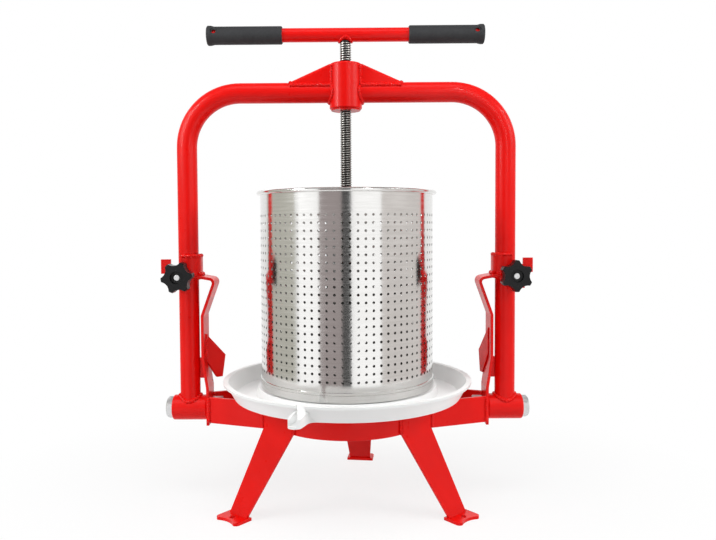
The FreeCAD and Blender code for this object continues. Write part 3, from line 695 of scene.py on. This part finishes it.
def weld_line(name, paths, radius, finish, body, slot):
    """Rippled beads along paths, each a list of points."""
    points = []
    edges = []
    for path in paths:
        first = len(points)
        points += path
        edges += [(first + k, first + k + 1) for k in range(len(path) - 1)]
    line = draw(name, points, edges=edges)
    pattern = Pattern("Weld beads", Radius=radius, Ripple=bead_ripple, Spacing=0.7 * mm,
                      Rise=0.30, Waver=1.0 * mm, Material=finish)
    curve = pattern.node("GeometryNodeMeshToCurve", {"Mesh": pattern.unit})
    even = pattern.node("GeometryNodeResampleCurve",
                        {"Curve": curve.outputs[0], "Length": pattern.size("Spacing")}, mode="LENGTH")
    length = pattern.node("GeometryNodeSplineParameter", {}).outputs["Length"]
    phase = pattern.calc("DIVIDE", pattern.calc("MULTIPLY", length, math.pi), pattern.size("Ripple"))
    wave = pattern.calc("ABSOLUTE", pattern.calc("SINE", phase))
    swell = pattern.calc("MULTIPLY_ADD", wave, pattern.size("Rise"), 1.0)
    noise = pattern.node("ShaderNodeTexNoise", {"Scale": 260.0, "Detail": 2.0})
    uneven = pattern.calc("MULTIPLY_ADD", noise.outputs["Fac"], 0.7, 0.62)
    bead = pattern.calc("MULTIPLY", pattern.calc("MULTIPLY", swell, uneven), pattern.size("Radius"))
    disc = pattern.node("GeometryNodeCurvePrimitiveCircle", {"Resolution": 8, "Radius": 1.0})
    sized = pattern.node("GeometryNodeSetCurveRadius", {"Curve": even.outputs[0], "Radius": bead})
    swept = pattern.node("GeometryNodeCurveToMesh", {
        "Curve": sized.outputs[0],
        "Profile Curve": disc.outputs["Curve"],
        "Fill Caps": True,
    })
    if "Scale" in [s.name for s in swept.inputs]:
        pattern.put(bead, swept.inputs["Scale"])
    drift = pattern.node("ShaderNodeTexNoise", {"Scale": 700.0, "Detail": 1.0})
    offset = pattern.node("ShaderNodeVectorMath", {0: drift.outputs["Color"], 1: (0.5, 0.5, 0.5)},
                          operation="SUBTRACT")
    small = pattern.node("ShaderNodeVectorMath", {0: offset.outputs[0], "Scale": pattern.size("Waver")},
                         operation="SCALE")
    rough = pattern.node("GeometryNodeSetPosition",
                         {"Geometry": swept.outputs[0], "Offset": small.outputs[0]})
    beads = pattern.finish(rough.outputs[0], line)
    smooth(beads, 60)
    return dress(beads, finish, body, slot)


def handle_weld():
    """Bead where the screw meets the underside of the handle bar."""
    bar_radius = (bar_high.z - bar_low.z) / 2
    bar_height = (bar_high.z + bar_low.z) / 2
    reach = screw_radius + 0.6 * mm
    path = ring_path(48, lambda a: Vector((
        reach * math.cos(a), reach * math.sin(a), bar_height - on_tube(bar_radius, reach * math.sin(a)))))
    weld_line("weld_handle", [path], 1.6 * mm, red, body_of["handle_bar"], "frame_paint")


boss_low, boss_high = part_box("head_boss")
gusset_low, gusset_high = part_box("gusset_right")
arch_low, arch_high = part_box("arch_half_right")
pivot_low, pivot_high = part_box("pivot_tube_right")
ring_low, ring_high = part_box("base_ring")
strip_low, strip_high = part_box("latch_strip_right")
arm_low, arm_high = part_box("arm_front_right")
saddle_low, saddle_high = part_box("saddle_right")
stop_low, stop_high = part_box("stop_right")
tube_radius = arch_high.y
tube_height = arch_high.z - tube_radius
leg_x = arch_high.x - tube_radius


def head_welds(side):
    """Beads at the boss, round the arch tube and along the gusset."""
    boss_radius = boss_high.x

    def round_tube(angle):
        y = tube_radius * math.cos(angle)
        z = tube_height + tube_radius * math.sin(angle)
        return Vector((side * (on_tube(boss_radius, y) + 0.4 * mm), y, z))

    paths = [ring_path(60, round_tube)]
    for front in (-1, 1):
        y = front * gusset_high.y
        x = on_tube(boss_radius, y) + 0.3 * mm
        paths.append([Vector((side * x, y, z)) for z in (gusset_low.z, gusset_high.z - 3 * mm)])
        paths.append([Vector((side * v, y, gusset_low.z)) for v in (x, gusset_high.x)])
    y = gusset_high.y
    x = gusset_high.x
    paths.append([Vector((side * x, v, tube_height + on_tube(tube_radius, v) + 0.3 * mm))
                  for v in (-y * 0.8, 0.0, y * 0.8)])
    return paths


def pivot_welds(side):
    """Bead where the arch leg stands on its pivot tube."""
    radius = pivot_high.y
    height = (pivot_low.z + pivot_high.z) / 2

    def round_leg(angle):
        y = tube_radius * math.sin(angle)
        x = leg_x + (tube_radius + 0.5 * mm) * math.cos(angle)
        return Vector((side * x, y, height + on_tube(radius, y) + 0.2 * mm))

    return [ring_path(60, round_leg)]


def frame_welds(side, front):
    """Upright beads where an arm meets the ring and the end plate."""
    ring_radius = ring_high.x
    start = Vector((arm_high.x, strip_high.y - flat_bar / 2, 0))
    end = Vector((ring_radius * math.cos(arm_turn), ring_radius * math.sin(arm_turn), 0))
    along = (start - end).normalized()
    across = Vector((-along.y, along.x, 0)) * (flat_bar / 2)
    paths = []
    for edge in (-1, 1):
        foot = start + across * edge
        offset = foot - along * foot.dot(along)
        inner = along * on_tube(ring_radius, offset.length) + offset
        for point in (foot - along * 0.5 * mm, inner):
            paths.append([Vector((side * point.x, front * point.y, z))
                          for z in (ring_low.z + 1 * mm, ring_high.z - 1 * mm)])
    return paths


def leg_welds(node):
    """Upright beads between the ring and those side edges of a leg's plate that stand close to it."""
    face = math.radians(leg_faces[node])
    outwards = Vector((math.cos(face), math.sin(face), 0))
    sideways = Vector((-outwards.y, outwards.x, 0))
    middle = (ring_high.x + leg_plate) * math.tan(math.radians(leg_turns[node]) - face)
    paths = []
    for edge in (-1, 1):
        along = middle + edge * (leg_width / 2 + 0.5 * mm)
        if abs(along) < leg_width * 0.75:
            reach = (on_tube(ring_high.x, along) + ring_high.x) / 2 + 1 * mm
            place = outwards * reach + sideways * along
            paths.append([Vector((place.x, place.y, z))
                          for z in (ring_low.z + 1 * mm, ring_high.z - leg_drop - 1 * mm)])
    return paths


def arm_leg_weld(side):
    """Upright bead where the cut edge of a front leg meets the flat bar beside it."""
    face = math.radians(leg_faces["leg_right"])
    outwards = Vector((math.cos(face), math.sin(face), 0))
    start = Vector((arm_high.x, -(strip_high.y - flat_bar / 2), 0))
    end = Vector((ring_high.x * math.cos(arm_turn), -ring_high.x * math.sin(arm_turn), 0))
    along = (start - end).normalized()
    edge = end + Vector((along.y, -along.x, 0)) * (flat_bar / 2)
    reach = ring_high.x + leg_plate - edge.dot(outwards)
    place = edge + along * (reach / along.dot(outwards))
    return [[Vector((side * place.x, place.y, z)) for z in (ring_low.z + 1 * mm, ring_high.z - leg_drop)]]


def saddle_welds(side):
    """Beads where the latch strip's lip meets the saddle, and along the saddle's upper edge."""
    x = saddle_low.x - 0.2 * mm
    lip = [Vector((side * x, y, strip_high.z)) for y in (strip_low.y + 8 * mm, 0.0, 9 * mm)]
    bend = leg_x - saddle_low.x - leg_plate / 2
    edge = [Vector((side * (leg_x - bend), y, saddle_high.z)) for y in (saddle_high.y, 0.0)]
    for turn in range(190, 271, 10):
        angle = math.radians(turn)
        edge.append(Vector((side * (leg_x + bend * math.cos(angle)), bend * math.sin(angle), saddle_high.z)))
    edge.append(Vector((side * (leg_x + 6 * mm), -bend, saddle_high.z)))
    return [lip, edge]


def wing_weld(side, node):
    """Bead at the root of a stop wing, on the latch strip's inner face."""
    low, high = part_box(node)
    root = arm_high.x + strip_lean
    return [[Vector((side * root, -wing_half, z)) for z in (low.z + 30 * mm, high.z - 1 * mm)]]


def welds():
    paths = wing_weld(sides["left"], "stop_left")
    for side in sides.values():
        paths += head_welds(side) + pivot_welds(side) + saddle_welds(side) + arm_leg_weld(side)
        for front in (-1, 1):
            paths += frame_welds(side, front)
    for node in leg_faces:
        paths += leg_welds(node)
    weld_line("weld_frame", paths, bead_radius, red, body_of["base_ring"], "frame_paint")


def knob_lips():
    """Moulded lip of each star knob over the face of its insert, round the stud."""
    for name in sides:
        low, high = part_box("knob_insert_" + name)
        stud_low, stud_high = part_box("clamp_stud_" + name)
        inner = (stud_high.x - stud_low.x) / 2 + 0.15 * mm
        outer = (high.x - low.x) / 2 + 1.5 * mm
        profile = [
            (inner, 0),
            (outer, 0),
            (outer, lip_height),
            (inner + lip_height, lip_height),
            (inner, lip_edge),
        ]
        lip = turned_profile("knob_lip_" + name, profile, 48)
        centre = Vector(((low.x + high.x) / 2, low.y, (low.z + high.z) / 2))
        lip.data.transform(Matrix.Translation(centre) @ Matrix.Rotation(math.radians(90), 4, "X"))
        smooth(lip, 40)
        dress(lip, knob_black, body_of["knob_" + name], "knob_plastic")


def basket_seam():
    """Butt weld of the basket's sheet, at the back."""
    y = basket_radius - 0.1 * mm
    path = [Vector((0, y, z)) for z in (basket_low.z + 12 * mm, basket_high.z - 6 * mm)]
    weld_line("weld_basket", [path], 0.6 * mm, steel_sheet, body_of["basket_wall"], "stainless")


# Studio

def area_light(name, place, aim, width, height, power, colour=(1, 1, 1)):
    data = bpy.data.lights.new(name, "AREA")
    data.shape = "RECTANGLE"
    data.size = width
    data.size_y = height
    data.energy = power
    data.color = colour
    lamp = bpy.data.objects.new(name, data)
    lamp.location = place
    lamp.rotation_euler = (Vector(aim) - Vector(place)).to_track_quat("-Z", "Y").to_euler()
    bpy.context.scene.collection.objects.link(lamp)
    return lamp


def world():
    """White to the camera, to gloss and to glass; a soft grey dome for the rest."""
    space = bpy.data.worlds.new("Studio")
    bpy.context.scene.world = space
    space.use_nodes = True
    nodes = space.node_tree.nodes
    links = space.node_tree.links
    dome = nodes["Background"]
    dome.inputs["Color"].default_value = (1, 1, 1, 1)
    dome.inputs["Strength"].default_value = 0.12
    white = nodes.new("ShaderNodeBackground")
    white.inputs["Color"].default_value = (1, 1, 1, 1)
    white.inputs["Strength"].default_value = 1.0
    rays = nodes.new("ShaderNodeLightPath")
    first = nodes.new("ShaderNodeMath")
    first.operation = "MAXIMUM"
    both = nodes.new("ShaderNodeMath")
    both.operation = "MAXIMUM"
    links.new(rays.outputs["Is Camera Ray"], first.inputs[0])
    links.new(rays.outputs["Is Glossy Ray"], first.inputs[1])
    links.new(first.outputs[0], both.inputs[0])
    links.new(rays.outputs["Is Transmission Ray"], both.inputs[1])
    mix = nodes.new("ShaderNodeMixShader")
    links.new(both.outputs[0], mix.inputs["Fac"])
    links.new(dome.outputs[0], mix.inputs[1])
    links.new(white.outputs[0], mix.inputs[2])
    links.new(mix.outputs[0], nodes["World Output"].inputs["Surface"])


def floor():
    """Plain pale floor that keeps the shadow near the object and is plain white further out."""
    half = 6.0
    corners = [(-half, -half, 0), (half, -half, 0), (half, half, 0), (-half, half, 0)]
    ground = draw("floor", corners, [(0, 1, 2, 3)])
    paper = Finish("white_paper", 0.9)
    paper.set(specular_ior_level=0.1)
    paper.colour(paper.blend(paper.noise(3, 2), (0.90, 0.90, 0.90), (0.92, 0.92, 0.92)))
    length = paper.nodes.new("ShaderNodeVectorMath")
    length.operation = "LENGTH"
    paper.links.new(paper.place, length.inputs[0])
    away = paper.spread(length.outputs["Value"], 0.8, 1, 0.15, 0.6)
    rays = paper.nodes.new("ShaderNodeLightPath")
    seen = paper.nodes.new("ShaderNodeMath")
    seen.operation = "MAXIMUM"
    paper.links.new(rays.outputs["Is Camera Ray"], seen.inputs[0])
    paper.links.new(rays.outputs["Is Glossy Ray"], seen.inputs[1])
    share = paper.nodes.new("ShaderNodeMath")
    share.operation = "MULTIPLY"
    paper.links.new(away, share.inputs[0])
    paper.links.new(seen.outputs[0], share.inputs[1])
    white = paper.nodes.new("ShaderNodeEmission")
    white.inputs["Color"].default_value = (1, 1, 1, 1)
    mix = paper.nodes.new("ShaderNodeMixShader")
    paper.links.new(share.outputs[0], mix.inputs["Fac"])
    paper.links.new(paper.shader.outputs[0], mix.inputs[1])
    paper.links.new(white.outputs[0], mix.inputs[2])
    paper.links.new(mix.outputs[0], paper.nodes["Material Output"].inputs["Surface"])
    ground.data.materials.append(paper.material)


def glowing(name, points, faces, colour):
    """A studio card of even brightness, seen only in reflections."""
    thing = draw(name, points, faces)
    cloth = bpy.data.materials.new(name)
    cloth.use_nodes = True
    nodes = cloth.node_tree.nodes
    nodes.remove(nodes["Principled BSDF"])
    glow = nodes.new("ShaderNodeEmission")
    glow.inputs["Color"].default_value = (*colour, 1)
    glow.inputs["Strength"].default_value = 1.0
    cloth.node_tree.links.new(glow.outputs[0], nodes["Material Output"].inputs["Surface"])
    thing.data.materials.append(cloth)
    thing.visible_camera = False
    thing.visible_diffuse = False
    thing.visible_shadow = False
    thing.visible_transmission = False


def card(name, start, end, colour, foot=0.0, top=card_top):
    """An upright card round the object; its edges are degrees to the right of the front."""
    points = []
    steps = 8
    for k in range(steps + 1):
        angle = math.radians(start + (end - start) * k / steps)
        for z in (foot, top):
            points.append((card_distance * math.sin(angle), -card_distance * math.cos(angle), z))
    faces = [(a, a + 2, a + 3, a + 1) for a in range(0, 2 * steps, 2)]
    glowing(name, points, faces, colour)


def ceiling_card(name, radius, height, colour):
    """A level card above the object."""
    corners = 24
    turns = [2 * math.pi * k / corners for k in range(corners)]
    points = [(radius * math.cos(turn), radius * math.sin(turn), height) for turn in turns]
    glowing(name, points, [tuple(range(corners))], colour)


def camera():
    """The photograph's view: a little above the tray, straight from the front."""
    turn = math.radians(0.33)
    tilt = math.radians(2.58)
    roll = math.radians(0.31)
    forward = Vector((-math.sin(turn) * math.cos(tilt), math.cos(turn) * math.cos(tilt), -math.sin(tilt)))
    right = Vector((math.cos(turn), math.sin(turn), 0))
    up = right.cross(forward)
    rolled_right = right * math.cos(roll) - up * math.sin(roll)
    rolled_up = up * math.cos(roll) + right * math.sin(roll)
    data = bpy.data.cameras.new("photo_view")
    data.sensor_width = 36
    data.lens = 35.78
    data.shift_x = 0.0158
    data.shift_y = -0.0176
    data.clip_end = 50
    thing = bpy.data.objects.new("photo_view", data)
    turn_matrix = Matrix((rolled_right, rolled_up, -forward)).transposed()
    thing.matrix_world = Matrix.Translation((0.0058, -1.0, 0.3867)) @ turn_matrix.to_4x4()
    bpy.context.scene.collection.objects.link(thing)
    bpy.context.scene.camera = thing


def studio():
    world()
    floor()
    area_light("left_box", (-1.8, -0.7, 1.2), (0, 0, 0.33), 1.0, 1.0, 25)
    area_light("right_box", (1.8, -0.7, 1.2), (0, 0, 0.33), 1.0, 1.0, 24)
    area_light("top_box", (0.0, -0.7, 2.0), (0, 0, 0.33), 1.4, 0.8, 19)
    area_light("back_box", (0.0, 1.8, 1.3), (0, 0, 0.33), 1.2, 0.8, 4)
    card("card_far_left", -116, -62, (0.56, 0.55, 0.49))
    card("card_bright_left", -57, -31, (1.25, 1.25, 1.25))
    card("card_middle", -31, -5, (0.40, 0.35, 0.345))
    card("card_dark", -5, 5.5, (0.075, 0.075, 0.075))
    card("card_bright_right", 5.5, 40, (1.25, 1.25, 1.25))
    card("card_far_right", 41, 112, (0.75, 0.71, 0.69))
    ceiling_card("card_above", 0.8, 0.95, (0.36, 0.36, 0.355))
    card("strip_left", -64, -60, (26, 26, 26), strip_foot, strip_top)
    card("strip_right", 26, 29, (22, 22, 22), strip_foot, strip_top)
    camera()


# Everything together

basket()
basket_foot()
screw()
handle_weld()
welds()
basket_seam()
knob_lips()
for node, width in edge_rounds.items():
    softened(node, width)
for node, thing in frame["nodes"].items():
    if not thing.hide_render:
        thing.data.materials.clear()
        thing.data.materials.append(finishes[slot_of[node]])
studio()

bpy.context.scene.view_settings.view_transform = "Standard"
